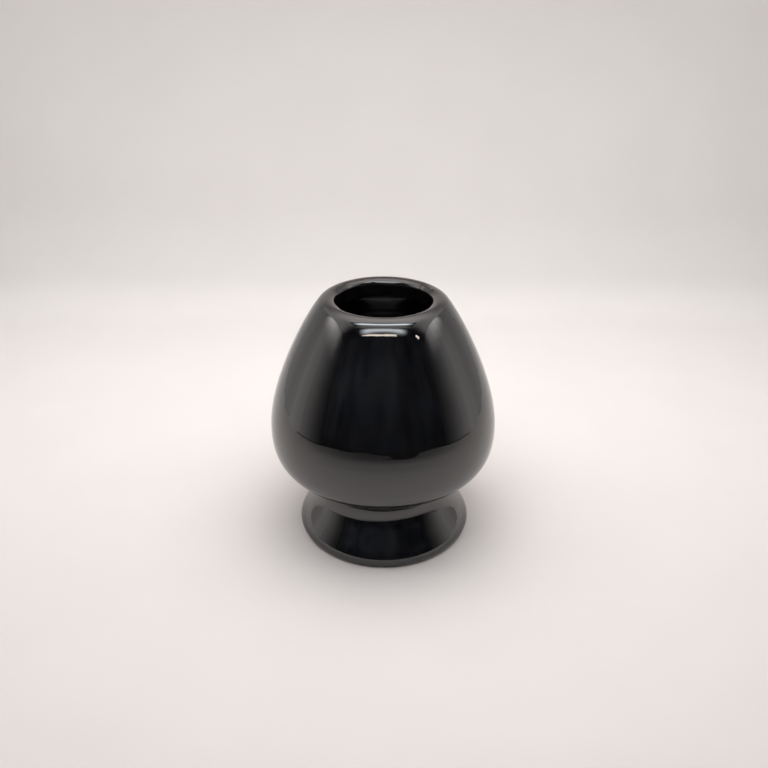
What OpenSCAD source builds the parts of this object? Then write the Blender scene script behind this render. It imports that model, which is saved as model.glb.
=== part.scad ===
// Glazed ceramic whisk stand: a hollow bulb with an open mouth, luted onto a flared hollow foot.
// The axis is Z and the table is z = 0. Every piece is turned from a half section, [radius, height].
// Outside sizes are taken over the glaze.

/* [Bulb] */
// Height of the lip's crown above the table
height = 71.5; // [62:0.5:90]
// Widest diameter of the bulb
belly_d = 63.8; // [56:0.2:80]
// Height of that widest line
belly_z = 33.5; // [32:0.5:40]
// Slope of the shoulder under the lip, from the vertical
shoulder_a = 55; // [40:1:65]
// Pull of the outside curve along the shoulder
shoulder_pull = 3; // [1:0.5:6]
// Pull of the outside curve above the widest line
belly_pull_up = 13.5; // [6:0.5:18]
// Pull of the outside curve below the widest line
belly_pull_down = 11.5; // [6:0.5:14]
// Slope of the bulb's underside where it meets the waist, from the horizontal
underside_a = 45; // [35:1:60]
// Pull of the outside curve along the underside
underside_pull = 11; // [4:0.5:11]

/* [Mouth] */
// Diameter of the throat
throat_d = 25.2; // [20:0.2:31]
// Length of the throat's straight stretch
throat_h = 3; // [1:0.5:6]
// Radius of the lip's inner edge
lip_in_r = 1.8; // [1:0.1:2.6]
// Radius of the lip's outer edge
lip_out_r = 4.4; // [3:0.1:6]

/* [Cavity] */
// Clay wall at the widest line
wall = 3.6; // [2.5:0.1:6]
// Clay floor under the cavity
floor_t = 4; // [3:0.1:6]
// Pull of the cavity's curve below the throat
neck_pull = 2; // [1:0.5:6]
// Pull of the cavity's curve above the widest line
cavity_pull_up = 17; // [8:0.5:20]
// Pull of the cavity's curve below the widest line
cavity_pull_down = 9.5; // [6:0.5:12]
// Diameter of the cavity's flat bottom
cavity_flat_d = 12; // [6:1:20]
// Pull of the cavity's curve along its bottom
cavity_flat_pull = 12; // [6:0.5:14]

/* [Foot] */
// Diameter of the waist, where the bulb sits on the foot
waist_d = 38.6; // [32:0.2:46]
// Height of the waist above the table
waist_z = 15.5; // [13:0.5:18]
// Diameter over the foot's rim
foot_d = 50.4; // [46:0.2:62]
// Pull of the flare's curve below the waist
flare_pull_top = 5; // [1:0.5:6]
// Pull of the flare's curve above the rim
flare_pull_rim = 5; // [1:0.5:6]
// Radius of the foot's rim
rim_r = 2.4; // [1.6:0.1:3]
// Slope of the flare where it meets the rim, from the vertical
rim_a = 22; // [10:1:40]
// Clay wall of the foot at the waist
foot_wall = 4.2; // [3:0.1:6]
// Width of the flat ring that stands on the table
ring_w = 2; // [1:0.1:4]
// Radius of the inner edge of that ring
ring_edge_r = 1.2; // [0.8:0.1:1.6]
// Pull of the recess's curve at both of its ends
recess_pull = 4.5; // [1:0.5:6]

/* [Glaze and slip] */
// Thickness of the glaze
glaze_t = 0.4; // [0.2:0.05:0.6]
// Height above the table at which the glaze stops
glaze_line = 0.6; // [0.4:0.1:1]
// Radius of the glaze pooled in the corner of the recess
pool_r = 1.2; // [0.6:0.1:2]
// Thickness of the slip that joins the bulb to the foot
slip_t = 0.4; // [0.2:0.1:0.8]

/* [Hidden] */

$fn = 96;
arc_steps = 8;
curve_steps = 16;
clay_color = [0.36, 0.24, 0.16];
slip_color = [0.42, 0.30, 0.21];
glaze_color = [0.03, 0.03, 0.035];

throat_r = throat_d / 2;
crown_r = throat_r + lip_in_r;
belly_r = belly_d / 2;
cavity_r = belly_r - wall - 2 * glaze_t;
cavity_z = waist_z + floor_t + glaze_t;
throat_z = height - lip_in_r - throat_h;
waist_r = waist_d / 2;
slip_z = waist_z - slip_t;
foot_r = foot_d / 2;
recess_r = waist_r - glaze_t - foot_wall;
ring_out_r = foot_r - rim_r;
ring_in_r = ring_out_r - ring_w - ring_edge_r;

// Centre of the pooled glaze's surface. The recess's wall runs straight up from its height.
pool_c = [recess_r - glaze_t - pool_r, waist_z - glaze_t - pool_r];

// Centres of the rounded edges
lip_in_c = [crown_r, height - lip_in_r];
lip_out_c = [crown_r, height - lip_out_r];
rim_c = [ring_out_r, rim_r - glaze_t];
ring_edge_c = [ring_in_r + ring_edge_r, ring_edge_r];

// Angles at which the glaze stops on the rim and on the ring's inner edge
rim_end_a = -asin((rim_c[1] - glaze_line) / rim_r);
ring_end_a = 180 + asin((ring_edge_c[1] - glaze_line) / (ring_edge_r + glaze_t));

function polar(r, a) = r * [cos(a), sin(a)];

function arc(c, r, from, to) = [for (i = [0:arc_steps]) c + polar(r, from + (to - from) * i / arc_steps)];

function unit(v) = v / norm(v);

function bezier(p, u) =
    pow(1 - u, 3) * p[0] + 3 * u * pow(1 - u, 2) * p[1] + 3 * pow(u, 2) * (1 - u) * p[2] + pow(u, 3) * p[3];

function bezier_dir(p, u) =
    unit(pow(1 - u, 2) * (p[1] - p[0]) + 2 * u * (1 - u) * (p[2] - p[1]) + pow(u, 2) * (p[3] - p[2]));

// Points along a curve, moved sideways by a depth: positive to the right of the way it runs
function curve(p, depth) = [
    for (i = [0:curve_steps])
        let (u = i / curve_steps, d = bezier_dir(p, u))
            bezier(p, u) + depth * [d[1], -d[0]]
];

function reversed(path) = [for (i = [len(path) - 1:-1:0]) path[i]];

// Control points of the outside, from the lip down to the rim
shoulder_p = lip_out_c + polar(lip_out_r, shoulder_a);
wall_curve = [
    shoulder_p,
    shoulder_p + polar(shoulder_pull, shoulder_a - 90),
    [belly_r, belly_z + belly_pull_up],
    [belly_r, belly_z]
];
under_curve = [
    [belly_r, belly_z],
    [belly_r, belly_z - belly_pull_down],
    [waist_r, waist_z] + polar(underside_pull, underside_a),
    [waist_r, waist_z]
];
rim_p = rim_c + polar(rim_r, rim_a);
flare_curve = [
    [waist_r, slip_z],
    [waist_r, slip_z - flare_pull_top],
    rim_p + polar(flare_pull_rim, rim_a + 90),
    rim_p
];

// Control points of the cavity, from the throat down to its flat bottom
neck_curve = [
    [throat_r, throat_z],
    [throat_r, throat_z - neck_pull],
    [cavity_r, belly_z + cavity_pull_up],
    [cavity_r, belly_z]
];
bowl_curve = [
    [cavity_r, belly_z],
    [cavity_r, belly_z - cavity_pull_down],
    [cavity_flat_d / 2 + cavity_flat_pull, cavity_z],
    [cavity_flat_d / 2, cavity_z]
];

// Control points of the recess, from the ring's inner edge up to the pooled glaze
recess_curve = [
    [ring_in_r, ring_edge_r],
    [ring_in_r, ring_edge_r + recess_pull],
    [recess_r, pool_c[1] - recess_pull],
    [recess_r, pool_c[1]]
];

// The bulb's outside at a depth below the glazed surface, from the crown to the waist
function bulb_side(depth) = concat(
    arc(lip_out_c, lip_out_r - depth, 90, shoulder_a),
    curve(wall_curve, depth),
    curve(under_curve, depth),
    [[waist_r - depth, waist_z]]
);

// The foot's outside at a depth below the glazed surface, from the waist to where the glaze stops
function foot_side(depth) = concat(
    curve(flare_curve, depth),
    arc(rim_c, rim_r - depth, rim_a, rim_end_a)
);

// The cavity at a depth below the glazed surface, from the crown to the axis
function cavity_side(depth) = concat(
    arc(lip_in_c, lip_in_r - depth, 90, 180),
    curve(neck_curve, -depth),
    curve(bowl_curve, -depth),
    [[0, cavity_z - depth]]
);

// The bare clay that stands on the table, from one edge of the glaze to the other
ring_side = concat(
    arc(rim_c, rim_r - glaze_t, rim_end_a, -90),
    arc(ring_edge_c, ring_edge_r, 270, ring_end_a)
);

// The recess at a height above the clay's surface, from where the glaze stops up to the pooled glaze
function recess_side(proud) = concat(
    arc(ring_edge_c, ring_edge_r + proud, ring_end_a, 180),
    curve(recess_curve, -proud)
);

module turned(section) {
    rotate_extrude()
        polygon(section);
}

// Clay bulb: a cup with a thick lip, flat where it sits on the foot
module cup() {
    color(clay_color)
        turned(concat(bulb_side(glaze_t), [[0, waist_z]], reversed(cavity_side(glaze_t))));
}

// Clay foot: a flared ring, open from the table up to the bulb
module pedestal() {
    color(clay_color)
        turned(concat(foot_side(glaze_t), ring_side, recess_side(0), [[recess_r, slip_z]]));
}

// Layer of slip that lutes the bulb onto the foot
module slip_joint() {
    color(slip_color)
        translate([0, 0, slip_z])
            difference() {
                cylinder(h = slip_t, r = waist_r - glaze_t);
                translate([0, 0, -slip_t])
                    cylinder(h = 3 * slip_t, r = recess_r);
            }
}

// Glaze over the outside, from the crown to just above the table
module outer_glaze() {
    color(glaze_color)
        turned(concat(
            bulb_side(0),
            foot_side(0),
            reversed(foot_side(glaze_t)),
            reversed(bulb_side(glaze_t))
        ));
}

// Glaze over the lip's inner half, the throat and the cavity
module inner_glaze() {
    color(glaze_color)
        turned(concat(cavity_side(0), reversed(cavity_side(glaze_t))));
}

// Glaze over the foot's recess and the underside of the bulb
module recess_glaze() {
    color(glaze_color)
        turned(concat(
            recess_side(glaze_t),
            arc(pool_c, pool_r, 0, 90),
            [[0, waist_z - glaze_t], [0, waist_z], [recess_r, waist_z]],
            reversed(recess_side(0))
        ));
}

cup();
pedestal();
slip_joint();
outer_glaze();
inner_glaze();
recess_glaze();
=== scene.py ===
"""Matcha whisk stand in black gloss glaze, standing in a white light tent.

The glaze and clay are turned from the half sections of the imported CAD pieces, with the slight
unevenness of pottery. The tent and the dim room in front of it are the stage.
"""
import math

import bpy
from mathutils import Matrix, Vector, noise


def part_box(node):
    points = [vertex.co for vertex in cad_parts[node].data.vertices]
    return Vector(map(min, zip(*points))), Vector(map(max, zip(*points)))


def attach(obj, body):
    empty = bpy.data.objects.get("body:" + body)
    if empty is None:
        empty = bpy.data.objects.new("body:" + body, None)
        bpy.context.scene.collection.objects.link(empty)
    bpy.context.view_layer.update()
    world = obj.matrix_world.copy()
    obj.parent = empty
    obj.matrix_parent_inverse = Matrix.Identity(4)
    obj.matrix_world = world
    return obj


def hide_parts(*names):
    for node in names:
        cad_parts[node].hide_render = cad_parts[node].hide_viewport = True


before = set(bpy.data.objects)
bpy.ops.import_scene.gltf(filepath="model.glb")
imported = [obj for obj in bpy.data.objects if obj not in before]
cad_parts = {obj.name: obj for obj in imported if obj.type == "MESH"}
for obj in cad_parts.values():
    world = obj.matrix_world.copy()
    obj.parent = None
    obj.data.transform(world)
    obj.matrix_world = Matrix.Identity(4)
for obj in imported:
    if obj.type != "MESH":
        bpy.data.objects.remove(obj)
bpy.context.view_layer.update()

MM = 0.001
TURN = 2 * math.pi


# ---------------------------------------------------------------- half sections of the CAD pieces

def half_section(node):
    """The outline of a turned CAD node in the half plane y = 0, x > 0, and whether it is closed.

    The outline is a list of (radius, height) points in order.
    """
    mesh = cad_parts[node].data
    places = [v.co for v in mesh.vertices]
    links = {}
    for edge in mesh.edges:
        a, b = (places[i] for i in edge.vertices)
        if all(abs(p.y) < 1e-7 and p.x > -1e-7 for p in (a, b)):
            pa, pb = ((round(p.x, 7), round(p.z, 7)) for p in (a, b))
            if pa != pb:
                links.setdefault(pa, set()).add(pb)
                links.setdefault(pb, set()).add(pa)
    ends = sorted(p for p in links if len(links[p]) == 1)
    path = [ends[0] if ends else min(links)]
    while True:
        onward = [p for p in sorted(links[path[-1]]) if p not in path[-2:] and p != path[0]]
        if not onward:
            break
        path.append(onward[0])
    return [Vector(p) for p in path], not ends


def turning(a, b, c):
    """How far the outline turns at b, in radians."""
    return (b - a).angle(c - b, 0.0)


def split_at_corners(path, closed, limit):
    """The outline as stretches that meet at corners sharper than limit."""
    if closed:
        count = len(path)
        first = next(i for i in range(count) if turning(path[i - 1], path[i], path[(i + 1) % count]) > limit)
        path = path[first:] + path[:first] + [path[first]]
    stretches = [[path[0]]]
    for i in range(1, len(path)):
        stretches[-1].append(path[i])
        if i < len(path) - 1 and turning(path[i - 1], path[i], path[i + 1]) > limit:
            stretches.append([path[i]])
    return stretches


def smooth_stretch(points, step):
    """Points about step apart along a smooth curve through the given ones."""
    made = [points[0].copy()]
    for i in range(len(points) - 1):
        p1, p2 = points[i], points[i + 1]
        before = points[i - 1] if i else 2 * p1 - p2
        after = points[i + 2] if i + 2 < len(points) else 2 * p2 - p1
        length = (p2 - p1).length
        m1 = (p2 - before) / (length + (p1 - before).length) * length
        m2 = (after - p1) / (length + (after - p2).length) * length
        pieces = max(1, round(length / step))
        for k in range(1, pieces + 1):
            u = k / pieces
            made.append((2 * u**3 - 3 * u**2 + 1) * p1 + (u**3 - 2 * u**2 + u) * m1
                        + (3 * u**2 - 2 * u**3) * p2 + (u**3 - u**2) * m2)
    return made


def refined(path, spacing, corner=math.radians(25)):
    """A smooth version of the path that keeps its corners, with points spacing(point) apart."""
    kept = []
    for stretch in split_at_corners(path, False, corner):
        dense = smooth_stretch(stretch, 0.1 * MM)
        kept.append(dense[0])
        for p in dense[1:-1]:
            if (p - kept[-1]).length >= spacing(p) and (p - dense[-1]).length >= 0.5 * spacing(p):
                kept.append(p)
    return kept + [path[-1]]


def long_sides(node):
    """The two long sides of a thin coat's half section, each running from high to low."""
    path, closed = half_section(node)
    stretches = sorted(split_at_corners(path, closed, math.radians(60)), key=len, reverse=True)[:2]
    return [s if s[0].y > s[-1].y else s[::-1] for s in stretches]


outer_shown, outer_clay = sorted(long_sides("outer_glaze"), key=lambda s: -max(p.x for p in s))
inner_shown, inner_clay = sorted(long_sides("inner_glaze"), key=lambda s: max(p.x for p in s))
recess_shown, recess_clay = sorted(long_sides("recess_glaze"), key=lambda s: max(p.x for p in s))
CROWN_R, CROWN_Z = outer_shown[0]
CAVITY_Z = inner_shown[-1].y
WAIST_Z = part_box("slip_joint")[1].z
WAIST_R = min(p.x for p in outer_shown if abs(p.y - WAIST_Z) < MM)


# ---------------------------------------------------------------- hand-made unevenness

LEAN = 0.43 * MM            # the foot sits this far off the bulb's axis, towards +X
WAVE = 0.06 * MM            # depth of the glaze's slow waves
WAVE_SIZE = 26 * MM
RUN = 0.30 * MM             # depth of the runs round the lip's inner edge
RUN_SIZE = 4.5 * MM
DIP = 0.30 * MM             # how far the glaze sinks at the front of the lip's inner edge
DEEPEST = 0.36 * MM         # no unevenness goes deeper than this, which is less than the glaze's thickness
THROWING = 0.08 * MM        # depth of the rings left in the cavity by throwing
THROWING_PITCH = 2.6 * MM
WANDER = 0.16 * MM          # how far the glaze's lower edge strays up and down
WANDER_SIZE = 6 * MM
GRAIN = 0.05 * MM           # roughness of the bare clay ring
GRAIN_SIZE = 0.9 * MM
# Pimples in the glaze round the lip: bearing in degrees, radius, height over it and width, in mm
PIMPLES = [
    (128, 14.9, 0.16, 0.55),
    (104, 13.4, 0.14, 0.45),
    (38, 13.2, 0.16, 0.50),
    (22, 14.2, 0.10, 0.45),
]


def smoothstep(low, high, value):
    u = min(1.0, max(0.0, (value - low) / (high - low)))
    return u * u * (3 - 2 * u)


def ripple(place, size, seed):
    """Smooth noise from about -1 to 1, with features of the given size."""
    return noise.noise(place / size + Vector((seed, 0.37 * seed, -seed)))


def lean(z):
    """Sideways shift of the foot, which fades out at the waist."""
    return LEAN * (1 - smoothstep(WAIST_Z - 4 * MM, WAIST_Z, z))


def pimple(place):
    """Height of the pimples over a place on the lip."""
    height = 0.0
    for bearing, r, tall, wide in PIMPLES:
        a = math.radians(bearing)
        gap = math.hypot(place.x - r * MM * math.cos(a), place.y - r * MM * math.sin(a)) / (wide * MM)
        if gap < 3 and place.z > CROWN_Z - 4 * MM:
            height += tall * MM * math.exp(-gap * gap)
    return height


def coat_move(place, into):
    """Shift of the glaze outside and over the lip: slow waves, and the runs and dip of the inner edge."""
    r = math.hypot(place.x, place.y)
    depth = WAVE * (0.5 - 0.5 * ripple(place, WAVE_SIZE, 3.1))
    inner_edge = smoothstep(CROWN_R + MM, CROWN_R - 0.6 * MM, r)
    lip = inner_edge * smoothstep(CROWN_Z - 5 * MM, CROWN_Z - 1.5 * MM, place.z)
    behind = 0.35 + 0.65 * smoothstep(-0.3 * CROWN_R, 0.8 * CROWN_R, place.y)
    depth += lip * behind * RUN * (0.5 - 0.8 * ripple(place, RUN_SIZE, 7.7))
    depth += lip * DIP * smoothstep(0.2 * CROWN_R, -0.8 * CROWN_R, place.y)
    return min(DEEPEST, max(0.0, depth - lip * pimple(place))) * into


def cavity_move(place, into):
    """Shift of the glaze inside, with the spiral that throwing leaves below the throat."""
    spiral = math.sin(TURN * place.z / THROWING_PITCH + math.atan2(place.y, place.x))
    below = smoothstep(CROWN_Z - 8 * MM, CROWN_Z - 14 * MM, place.z)
    return coat_move(place, into) + below * THROWING * (0.5 + 0.5 * spiral) * into


def edge_move(onward):
    """Shift of a coat's lower edge, which strays along its own direction."""
    def move(place, into):
        stray = WANDER * ripple(place, WANDER_SIZE, 5.3) * smoothstep(2.4 * MM, 0.8 * MM, place.z)
        return coat_move(place, into) + stray * onward
    return move


def grain_move(place, into):
    """Shift of the bare clay that stands on the table."""
    return GRAIN * smoothstep(MM, 0, place.z) * (0.5 - 0.5 * ripple(place, GRAIN_SIZE, 9.2)) * into


# ---------------------------------------------------------------- turned pieces

STEPS = 240


def turned(name, stretches):
    """A closed mesh turned from stretches of (points, move) that make one path.

    The path starts and ends on the axis, or else is closed. The solid lies to its right. Where move isn't
    None, move(place, into) gives a point's shift in the half plane, and into points into the solid.
    """
    path = [(p, move) for points, move in stretches for p in points]
    closed = path[0][0].x > 1e-7
    verts, faces, rings = [], [], []
    for i, (p, move) in enumerate(path):
        on_axis = p.x < 1e-7
        along = Vector((1, 0)) if on_axis else path[(i + 1) % len(path)][0] - path[i - 1][0]
        into = Vector((along.y, -along.x)).normalized()
        ring = []
        for k in range(1 if on_axis else STEPS):
            angle = TURN * k / STEPS
            way = Vector((math.cos(angle), math.sin(angle)))
            place = Vector((p.x * way.x, p.x * way.y, p.y))
            r, z = p if on_axis or move is None else p + move(place, into)
            ring.append(len(verts))
            verts.append((r * way.x + lean(z), r * way.y, z))
        rings.append(ring)
    for a, b in zip(rings, rings[1:] + ([rings[0]] if closed else [])):
        for k in range(STEPS):
            j = (k + 1) % STEPS
            corners = a[k % len(a)], b[k % len(b)], b[j % len(b)], a[j % len(a)]
            faces.append(list(dict.fromkeys(corners)))
    mesh = bpy.data.meshes.new(name)
    mesh.from_pydata(verts, [], faces)
    mesh.shade_smooth()
    piece = bpy.data.objects.new(name, mesh)
    bpy.context.scene.collection.objects.link(piece)
    return piece


def softened(path, centre, reach, passes):
    """The path with its corner near centre worn round."""
    path = [p.copy() for p in path]
    near = [i for i in range(1, len(path) - 1) if (path[i] - centre).length < reach]
    for _ in range(passes):
        for i in near:
            path[i] = 0.5 * path[i] + 0.25 * (path[i - 1] + path[i + 1])
    return path


def nose(shown_end, clay_end):
    """Points round the rounded edge where a coat of glaze stops, and the way it faces."""
    centre, arm = (shown_end + clay_end) / 2, (shown_end - clay_end) / 2
    onward = Vector((arm.y, -arm.x))
    if onward.y > 0:
        onward = -onward
    angles = [math.radians(a) for a in (30, 60, 90, 120, 150)]
    return [centre + math.cos(a) * arm + math.sin(a) * onward for a in angles], onward.normalized()


def spacing(p):
    """Distance between rings: fine at the lip and the waist, coarser elsewhere."""
    if p.y > CROWN_Z - 7 * MM and p.x < CROWN_R + 4 * MM:
        return 0.3 * MM
    if abs(p.y - WAIST_Z) < 1.5 * MM and WAIST_R - MM < p.x < WAIST_R + 2 * MM:
        return 0.16 * MM
    return 0.8 * MM


def make_glaze_coat():
    """The glaze from the foot's edge, over the lip and down to the cavity's floor, as one closed skin."""
    shown = refined([Vector((0, CAVITY_Z))] + inner_shown[::-1] + outer_shown[1:], spacing)
    shown = softened(shown, Vector((WAIST_R, WAIST_Z)), 0.6 * MM, 3)
    crown = max(range(len(shown)), key=lambda i: shown[i].y)
    rounded, onward = nose(outer_shown[-1], outer_clay[-1])
    hidden = outer_clay[::-1] + inner_clay[1:] + [Vector((0, inner_clay[-1].y))]
    coat = turned("glaze_coat", [
        (shown[:crown], cavity_move),
        (shown[crown:] + rounded, edge_move(onward)),
        (hidden, None),
    ])
    inside = coat.data.attributes.new("inside", "FLOAT", "POINT")
    last = 1 + (crown - 1) * STEPS
    depths = [smoothstep(CROWN_Z - 6 * MM, CROWN_Z - 16 * MM, v.co.z) for v in coat.data.vertices[:last]]
    inside.data.foreach_set("value", depths + [0.0] * (len(coat.data.vertices) - last))
    return coat


def make_glaze_recess():
    """The glaze under the bulb and on the foot's inner side, with its pooled corner."""
    back = [Vector((0, recess_clay[0].y))] + recess_clay
    rounded, onward = nose(recess_shown[-1], recess_clay[-1])
    shown = refined(recess_shown[::-1] + [Vector((0, recess_shown[0].y))], spacing)
    return turned("glaze_recess", [(back, None), (rounded[::-1] + shown, edge_move(onward))])


def make_clay_foot():
    """The clay foot, bare where it stands on the table."""
    path, _ = half_section("pedestal")
    area = sum(a.x * b.y - b.x * a.y for a, b in zip(path, path[1:] + path[:1]))
    if area > 0:
        path.reverse()
    return turned("clay_foot", [(refined(path + path[:1], spacing)[:-1], grain_move)])


glaze_coat = make_glaze_coat()
glaze_recess = make_glaze_recess()
clay_foot = make_clay_foot()


# ---------------------------------------------------------------- materials of the object

def new_material(name):
    made = bpy.data.materials.new(name)
    made.use_nodes = True
    return made, made.node_tree, made.node_tree.nodes["Principled BSDF"]


def add(tree, kind, inputs, **settings):
    """A node with its inputs set to values or linked to other nodes' outputs."""
    node = tree.nodes.new(kind)
    for key, value in settings.items():
        setattr(node, key, value)
    for key, value in inputs.items():
        if isinstance(value, bpy.types.NodeSocket):
            tree.links.new(value, node.inputs[key])
        else:
            node.inputs[key].default_value = value
    return node


def place_of(tree):
    return add(tree, "ShaderNodeTexCoord", {}).outputs["Object"]


def speckle(tree, place, size, detail=2.0):
    """Noise from 0 to 1 with features of the given size."""
    inputs = {"Vector": place, "Scale": 1 / size, "Detail": detail}
    return add(tree, "ShaderNodeTexNoise", inputs).outputs["Fac"]


def ranged(tree, value, low, high, to_low, to_high):
    """The value, mapped smoothly from one range to another."""
    inputs = {"Value": value, "From Min": low, "From Max": high, "To Min": to_low, "To Max": to_high}
    return add(tree, "ShaderNodeMapRange", inputs, interpolation_type="SMOOTHSTEP").outputs["Result"]


def combined(tree, operation, a, b):
    return add(tree, "ShaderNodeMath", {0: a, 1: b}, operation=operation).outputs[0]


def blended(tree, amount, a, b):
    """A colour between a and b."""
    inputs = {"Factor": amount, 6: a, 7: b}
    return add(tree, "ShaderNodeMix", inputs, data_type="RGBA").outputs[2]


def bumped(tree, height, depth, under=None):
    """A normal bent by a height from 0 to 1 that stands for the given depth in metres."""
    inputs = {"Height": height, "Distance": depth, "Strength": 1.0}
    if under is not None:
        inputs["Normal"] = under
    return add(tree, "ShaderNodeBump", inputs).outputs["Normal"]


def scattered(tree, place, cell, radius, share):
    """1 on round specks of that radius, in that share of the cells, and 0 elsewhere."""
    dots = add(tree, "ShaderNodeTexVoronoi", {"Vector": place, "Scale": 1 / cell}, feature="F1")
    near = ranged(tree, dots.outputs["Distance"], 0.7 * radius / cell, radius / cell, 1.0, 0.0)
    chosen = add(tree, "ShaderNodeSeparateColor", {"Color": dots.outputs["Color"]}).outputs["Red"]
    return combined(tree, "MULTIPLY", near, combined(tree, "LESS_THAN", chosen, share))


GLAZE_IOR = 1.8
BLACK = (0.0011, 0.0013, 0.0021, 1)
MOTTLED = (0.0032, 0.0030, 0.0034, 1)
THIN_BROWN = (0.020, 0.010, 0.005, 1)
DUST = (0.16, 0.155, 0.15, 1)
ROUGH_INSIDE = 0.30         # roughness deep in the cavity, on dust specks and at the foot's thin edge
ROUGH_DUST = 0.5
ROUGH_EDGE = 0.12


def black_glaze_material():
    """Black gloss glaze: faint mottling, brown where it runs thin, dust specks and a soft orange peel."""
    made, tree, shader = new_material("black_gloss_glaze")
    place = place_of(tree)
    height = add(tree, "ShaderNodeSeparateXYZ", {"Vector": place}).outputs["Z"]
    colour = blended(tree, ranged(tree, speckle(tree, place, 7 * MM), 0.35, 0.65, 0.0, 1.0), BLACK, MOTTLED)
    at_crown = ranged(tree, height, CROWN_Z - 0.5 * MM, CROWN_Z, 0.0, 0.55)
    at_edge = ranged(tree, height, 1.7 * MM, 0.5 * MM, 0.0, 1.0)
    thin = combined(tree, "MAXIMUM", at_crown, at_edge)
    thin = combined(tree, "MULTIPLY", thin, ranged(tree, speckle(tree, place, 2.2 * MM), 0.3, 0.6, 0.5, 1.0))
    colour = blended(tree, thin, colour, THIN_BROWN)
    dust = scattered(tree, place, 8 * MM, 0.11 * MM, 0.22)
    tree.links.new(blended(tree, dust, colour, DUST), shader.inputs["Base Color"])
    smooth = ranged(tree, speckle(tree, place, 4 * MM), 0.3, 0.7, 0.022, 0.045)
    inside = add(tree, "ShaderNodeAttribute", {}, attribute_name="inside").outputs["Fac"]
    dull = combined(tree, "MAXIMUM", combined(tree, "MULTIPLY", inside, ROUGH_INSIDE),
                    combined(tree, "MULTIPLY", dust, ROUGH_DUST))
    dull = combined(tree, "MAXIMUM", dull, combined(tree, "MULTIPLY", at_edge, ROUGH_EDGE))
    tree.links.new(combined(tree, "MAXIMUM", smooth, dull), shader.inputs["Roughness"])
    peel = bumped(tree, speckle(tree, place, 1.6 * MM, 1.0), 0.004 * MM)
    tree.links.new(bumped(tree, dust, 0.02 * MM, peel), shader.inputs["Normal"])
    shader.inputs["IOR"].default_value = GLAZE_IOR
    return made


def clay_material(name, pale, dark, iron):
    """Matte fired clay: two tones, iron specks and a sandy grain."""
    made, tree, shader = new_material(name)
    place = place_of(tree)
    colour = blended(tree, ranged(tree, speckle(tree, place, 3 * MM), 0.35, 0.65, 0.0, 1.0), pale, dark)
    colour = blended(tree, scattered(tree, place, 0.9 * MM, 0.16 * MM, 0.35), colour, iron)
    tree.links.new(colour, shader.inputs["Base Color"])
    grain = speckle(tree, place, 0.25 * MM, 4.0)
    tree.links.new(ranged(tree, grain, 0.3, 0.7, 0.74, 0.94), shader.inputs["Roughness"])
    tree.links.new(bumped(tree, grain, 0.06 * MM), shader.inputs["Normal"])
    return made


def clothe(piece, made):
    """Puts one material on every slot of a piece."""
    if not piece.data.materials:
        piece.data.materials.append(made)
    for material_slot in piece.material_slots:
        material_slot.material = made


glaze = black_glaze_material()
clay = clay_material("fired_clay", (0.23, 0.13, 0.075, 1), (0.14, 0.075, 0.042, 1), (0.03, 0.018, 0.012, 1))
slip = clay_material("joining_slip", (0.30, 0.19, 0.12, 1), (0.22, 0.13, 0.08, 1), (0.08, 0.05, 0.03, 1))
for piece in (glaze_coat, glaze_recess):
    clothe(piece, glaze)
clothe(clay_foot, clay)
clothe(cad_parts["cup"], clay)
clothe(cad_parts["slip_joint"], slip)
for piece in (glaze_coat, glaze_recess, clay_foot):
    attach(piece, "root")
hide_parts("outer_glaze", "inner_glaze")
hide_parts("recess_glaze")
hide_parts("pedestal")


# ---------------------------------------------------------------- camera

LENS = 37.5
SENSOR = 36.0
CAMERA_PLACE = Vector((0.22, -199.2, 148.3)) * MM
PITCH = math.radians(27.39)
ROLL = math.radians(0.27)

scene = bpy.context.scene
camera_data = bpy.data.cameras.new("camera")
camera_data.lens = LENS
camera_data.sensor_width = SENSOR
camera_data.clip_start = 5 * MM
camera = bpy.data.objects.new("camera", camera_data)
camera.matrix_world = (Matrix.Translation(CAMERA_PLACE) @ Matrix.Rotation(math.pi / 2 - PITCH, 4, "X")
                       @ Matrix.Rotation(ROLL, 4, "Z"))
scene.collection.objects.link(camera)
scene.camera = camera
scene.view_settings.view_transform = "Standard"


# ---------------------------------------------------------------- light tent

WALL_X = 217.0              # the tent's sizes are in millimetres
CEILING_Z = 195.0
OPENING_Y = -135.0
OPENING_TOP = 186.0
SWEEP_Y = 150.0             # where the floor starts to curve up
SWEEP_R = 42.0
BACK_Y = SWEEP_Y + SWEEP_R
ROOM_Y = -520.0
FABRIC_WARM = (1.0, 0.955, 0.93, 1)
LED_COOL = (0.93, 0.965, 1.0, 1)
BAR_WARM = (1.0, 0.86, 0.75, 1)
FLOOR_FRONT = (1.0, 0.955, 0.93, 1)
FLOOR_BACK = (1.0, 0.985, 0.975, 1)
LAMP_X = 110.0              # half the length of a lamp row
LAMP_Z = CEILING_Z - 3
LAMP_SPREAD = 44            # width of the sheet that a lamp row's light fades over
PIPING = 1.5                # half the width of the dark piping along the walls
ROOM_X = 1200               # half the width of the room in front of the tent
ROOM_LOW = -60
ROOM_TALL = 900
TABLE_DEPTH = 380


def spread(name, point, columns, rows):
    """A staged sheet through point(u, v), in millimetres, with u and v from 0 to 1."""
    verts = [point(i / columns, j / rows) for j in range(rows + 1) for i in range(columns + 1)]
    wide = columns + 1
    faces = [(j * wide + i, j * wide + i + 1, (j + 1) * wide + i + 1, (j + 1) * wide + i)
             for j in range(rows) for i in range(columns)]
    mesh = bpy.data.meshes.new(name)
    mesh.from_pydata([Vector(v) * MM for v in verts], [], faces)
    mesh.shade_smooth()
    sheet = bpy.data.objects.new(name, mesh)
    scene.collection.objects.link(sheet)
    return sheet


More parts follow.
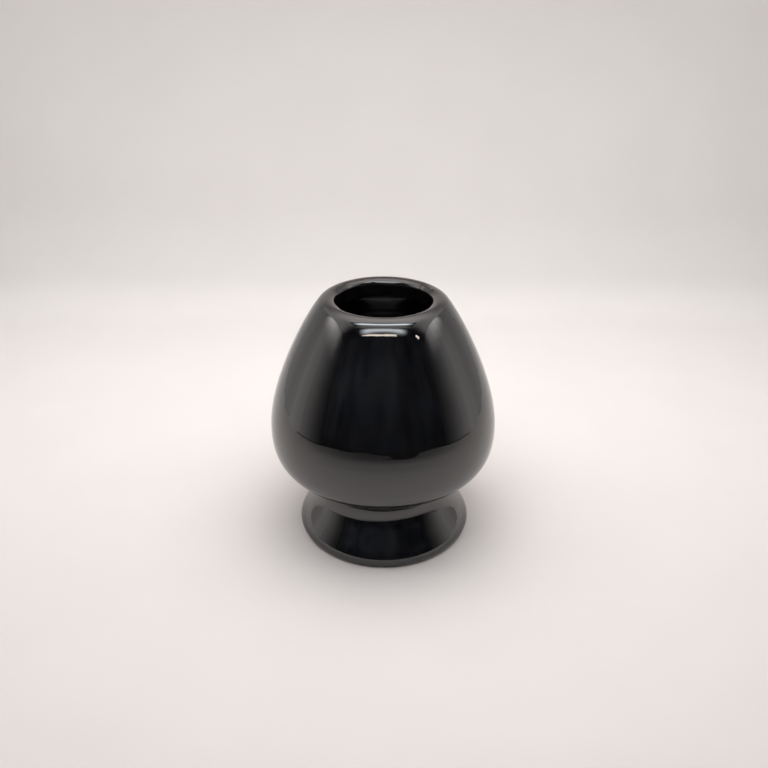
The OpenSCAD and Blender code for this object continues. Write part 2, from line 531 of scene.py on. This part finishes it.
def glowing(name, colour, strength):
    """A material that gives off even light, or light that follows the mesh's radiance attribute."""
    made = bpy.data.materials.new(name)
    made.use_nodes = True
    tree = made.node_tree
    tree.nodes.clear()
    if strength is None:
        strength = add(tree, "ShaderNodeAttribute", {}, attribute_name="radiance").outputs["Fac"]
    light = add(tree, "ShaderNodeEmission", {"Color": colour, "Strength": strength})
    out = tree.nodes.new("ShaderNodeOutputMaterial")
    tree.links.new(light.outputs["Emission"], out.inputs["Surface"])
    return made


def lit(sheet, radiance):
    """Stores radiance(x, y, z), taken in millimetres, on the sheet's points."""
    stored = sheet.data.attributes.new("radiance", "FLOAT", "POINT")
    stored.data.foreach_set("value", [radiance(*(v.co / MM)) for v in sheet.data.vertices])


def bell(distance, width):
    return math.exp(-(distance / width) ** 2)


def wall_radiance(x, y, z):
    """Side walls: brightest level with the lights, dim at the opening, with soft upright folds."""
    across = 0.30 * smoothstep(-150, -20, y) + 0.55 * bell(y - 12, 62) + 0.22 * smoothstep(40, 130, y)
    top = 1 + 2.6 * smoothstep(130, 185, z) * smoothstep(-110, -70, y) * smoothstep(85, 40, y)
    fold = 1 + 0.14 * noise.noise(Vector((x, y / 13, 0.3))) * (1 if x < 0 else 0.5)
    return (0.04 + across) * top * fold * (1 if x < 0 else 0.92)


def ceiling_radiance(x, y, z):
    """Ceiling as the light it throws: one glow behind the lamps, one between them, and its sides."""
    broad = 3.6 * bell(y + 10, 88) * bell(x, 150) + 1.35 * bell(y + 90, 45) * bell(x, 110)
    return 0.55 + broad + 0.5 * bell(abs(x) - 200, 60)


def ceiling_mirrored(x, y, z):
    """Ceiling as the glaze mirrors it: dimmer than its light, and dark in its front corners."""
    corner = smoothstep(-55, -105, y) * smoothstep(70, 125, abs(x))
    glow = 1.9 * bell(y - 25, 75) * bell(x, 150) + 1.2 * bell(y + 90, 22) * bell(x, 80)
    glow += 1.3 * bell(abs(x) - 70, 34) * bell(y + 40, 28) + 0.5 * bell(abs(x) - 200, 60)
    return (0.40 + glow) * (1 - 0.96 * corner)


def lamp_radiance(middle, peak):
    """A lamp row's light: strongest along its middle line, fading to both ends."""
    def radiance(x, y, z):
        return peak * bell(y - middle, 11) * smoothstep(LAMP_X, 0.55 * LAMP_X, abs(x))
    return radiance


def room_radiance(x, y, z):
    """The dim room in front, which only the glaze mirrors: its level by height, times some clutter."""
    level = 0.046 + 0.034 * smoothstep(90, 230, z) - 0.03 * smoothstep(330, 480, z)
    clutter = 1 + 0.8 * noise.noise(Vector((x / 110, z / 150, 4.4)))
    return level * clutter * (1 - 0.35 * smoothstep(60, 320, x))


def floor_point(u, v):
    """The fabric floor: a wavy flap in front, flat in the tent, then curving up into the back."""
    arc_length = SWEEP_R * math.pi / 2
    x = (2 * u - 1) * WALL_X * (1.0 if v > 0.25 else 1.03)
    if v < 0.25:
        front = flap_edge(x)
        return x, OPENING_Y + (front - OPENING_Y) * (1 - v / 0.25), 0.0
    run = (v - 0.25) / 0.75 * (SWEEP_Y - OPENING_Y + arc_length + OPENING_TOP)
    if run < SWEEP_Y - OPENING_Y:
        return x, OPENING_Y + run, 0.0
    run -= SWEEP_Y - OPENING_Y
    if run < arc_length:
        turn = run / SWEEP_R
        return x, SWEEP_Y + SWEEP_R * math.sin(turn), SWEEP_R * (1 - math.cos(turn))
    return x, BACK_Y, SWEEP_R + run - arc_length


def flap_edge(x):
    """Where the flap in front of the opening ends: deepest left of the middle, with slack waves."""
    deep = 190 * bell(x + 124, 50 if x < -124 else 160)
    return -232 - deep - 9 * math.sin(x / 21)


def tent():
    """The side walls, and the ceiling twice: one sheet only throws light, the other is only mirrored."""
    for name, side in (("tent_left", -1), ("tent_right", 1)):
        sheet = spread(name, lambda u, v: (
            side * WALL_X, OPENING_Y + u * (BACK_Y - OPENING_Y), v * CEILING_Z), 80, 24)
        lit(sheet, wall_radiance)
        clothe(sheet, glowing("tent_fabric", FABRIC_WARM, None))
    for name, radiance, mirrored in (("tent_ceiling", ceiling_radiance, False),
                                     ("tent_ceiling_mirrored", ceiling_mirrored, True)):
        height = CEILING_Z + (0 if mirrored else 1)
        ceiling = spread(name, lambda u, v: (
            (2 * u - 1) * WALL_X, OPENING_Y + v * (BACK_Y - OPENING_Y), height), 72, 54)
        lit(ceiling, radiance)
        clothe(ceiling, glowing(name + "_fabric", FABRIC_WARM, None))
        ceiling.visible_glossy = mirrored
        ceiling.visible_diffuse = not mirrored
        ceiling.visible_shadow = not mirrored


def floor_material():
    """Matte pale fabric, warmer in front, with painted shade in its albedo: greyer in front, palest before
    the sweep, greyer up the back.
    """
    made, tree, shader = new_material("tent_floor_fabric_painted_shade")
    place = place_of(tree)
    parts = add(tree, "ShaderNodeSeparateXYZ", {"Vector": place}).outputs
    tint = blended(tree, ranged(tree, parts["Y"], -60 * MM, 185 * MM, 0.0, 1.0), FLOOR_FRONT, FLOOR_BACK)
    # Painted shade: the fabric's albedo is made darker towards the front, where less light falls
    level = ranged(tree, parts["Y"], -60 * MM, 185 * MM, 0.69, 0.89)
    # Painted shade: darker still up the back sweep, where less light falls
    painted_sweep_shade = combined(tree, "ADD", ranged(tree, parts["Z"], 0.0, 14 * MM, 0.0, 0.10),
                    ranged(tree, parts["Z"], 30 * MM, 190 * MM, 0.0, 0.08))
    cloudy = ranged(tree, speckle(tree, place, 30 * MM), 0.3, 0.7, 0.985, 1.0)
    level = combined(tree, "MULTIPLY", combined(tree, "SUBTRACT", level, painted_sweep_shade), cloudy)
    albedo = add(tree, "ShaderNodeVectorMath", {0: tint, "Scale": level}, operation="SCALE")
    tree.links.new(albedo.outputs["Vector"], shader.inputs["Base Color"])
    shader.inputs["Roughness"].default_value = 0.95
    shader.inputs["Specular IOR Level"].default_value = 0.1
    return made


def box_bar(name, low, high, made):
    """A staged bar between two corners, in millimetres."""
    corners = [(x, y, z) for x in (low[0], high[0]) for y in (low[1], high[1]) for z in (low[2], high[2])]
    faces = [(0, 1, 3, 2), (4, 6, 7, 5), (0, 4, 5, 1), (2, 3, 7, 6), (0, 2, 6, 4), (1, 5, 7, 3)]
    mesh = bpy.data.meshes.new(name)
    mesh.from_pydata([Vector(c) * MM for c in corners], [], faces)
    bar = bpy.data.objects.new(name, mesh)
    scene.collection.objects.link(bar)
    clothe(bar, made)
    return bar


tent()
clothe(spread("tent_floor", floor_point, 60, 200), floor_material())

for name, middle, peak in (("lamp_back", -60, 9.5), ("lamp_front", -120, 6.2)):
    lamp = spread(name, lambda u, v: (
        (2 * u - 1) * LAMP_X, middle + LAMP_SPREAD * (v - 0.5), LAMP_Z), 44, 30)
    lit(lamp, lamp_radiance(middle, peak))
    clothe(lamp, glowing(name + "_light", LED_COOL, None))
warm = glowing("warm_light", BAR_WARM, 8.7)


def warm_strip(u, v):
    """A strip of warm light over the opening, which sags in the middle."""
    x = -99 + 154 * u
    return x, OPENING_Y, 180 + 10 * (x / 91) ** 2 + 7 * v


clothe(spread("warm_bar", warm_strip, 24, 1), warm)
box_bar("warm_dot", (154, -121, LAMP_Z - 1), (176, -114, LAMP_Z), warm)

dark = glowing("piping", (0.02, 0.02, 0.02, 1), 1.0)
for x in (-WALL_X, WALL_X):
    for name, low, high in (
            ("piping_floor", (x - PIPING, OPENING_Y, 0.2), (x + PIPING, -15, 2.5)),
            ("piping_edge", (x - PIPING, OPENING_Y - 2, 0.2), (x + PIPING, OPENING_Y + 1, OPENING_TOP))):
        box_bar(name, low, high, dark).visible_camera = False



def upright(y):
    """An upright plane in front of the tent, as a function of (u, v)."""
    return lambda u, v: ((2 * u - 1) * ROOM_X, y, ROOM_LOW + ROOM_TALL * v)


def flat(z):
    """A flat plane in front of the tent, as a function of (u, v)."""
    return lambda u, v: ((2 * u - 1) * ROOM_X, ROOM_Y + TABLE_DEPTH * v, z)


room = spread("room_dark", upright(ROOM_Y), 96, 72)
lit(room, room_radiance)
clothe(room, glowing("room_air", (0.88, 0.95, 1.12, 1), None))
room.visible_camera = False
table = spread("room_table", flat(-2), 4, 4)
clothe(table, glowing("room_table", (1.0, 0.96, 0.92, 1), 0.03))
table.visible_camera = False
# Views from the sides and the back look out of the tent onto these two instead of the dim room
pale = glowing("studio_pale", FABRIC_WARM, 0.62)
for sheet in (spread("studio_front", upright(ROOM_Y + 5), 2, 2),
              spread("studio_table", flat(-1.5), 2, 2)):
    clothe(sheet, pale)
    sheet.visible_glossy = False
    sheet.visible_diffuse = False
    sheet.visible_shadow = False

world = bpy.data.worlds.new("dim")
scene.world = world
world.use_nodes = True
world.node_tree.nodes["Background"].inputs["Color"].default_value = (0.03, 0.03, 0.03, 1)
